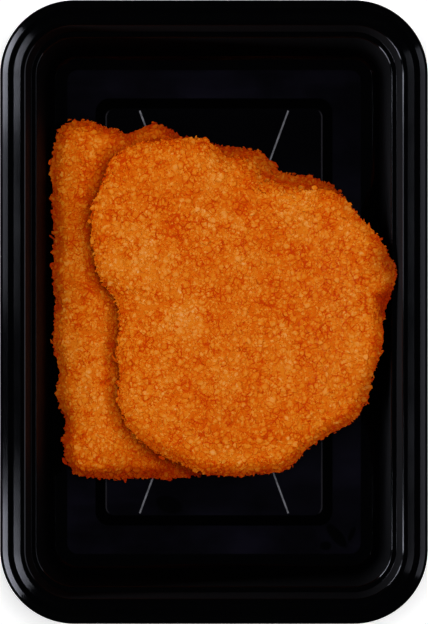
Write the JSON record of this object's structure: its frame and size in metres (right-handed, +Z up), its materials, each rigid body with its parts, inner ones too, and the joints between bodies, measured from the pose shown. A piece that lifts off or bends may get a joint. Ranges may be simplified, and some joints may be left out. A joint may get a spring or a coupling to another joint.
{
  "type": "tray of schnitzels",
  "caption": "Breaded schnitzels overlapping in a shallow rectangular black food tray with rounded corners, a stepped rim and a ribbed floor panel.",
  "frame": {"origin": "centre of the face that the tray stands on", "axes": "+Z up out of the tray, +Y along the tray's length, +X across it"},
  "size_m": [0.1524, 0.2222, 0.032],
  "materials": {
    "tray_plastic": "glossy black moulded polypropylene",
    "crumb_coating": null
  },
  "bodies": {
    "root": {"tray": "tray_plastic", "schnitzel_lower": "crumb_coating", "schnitzel_upper": "crumb_coating"}
  },
  "joints": []
}
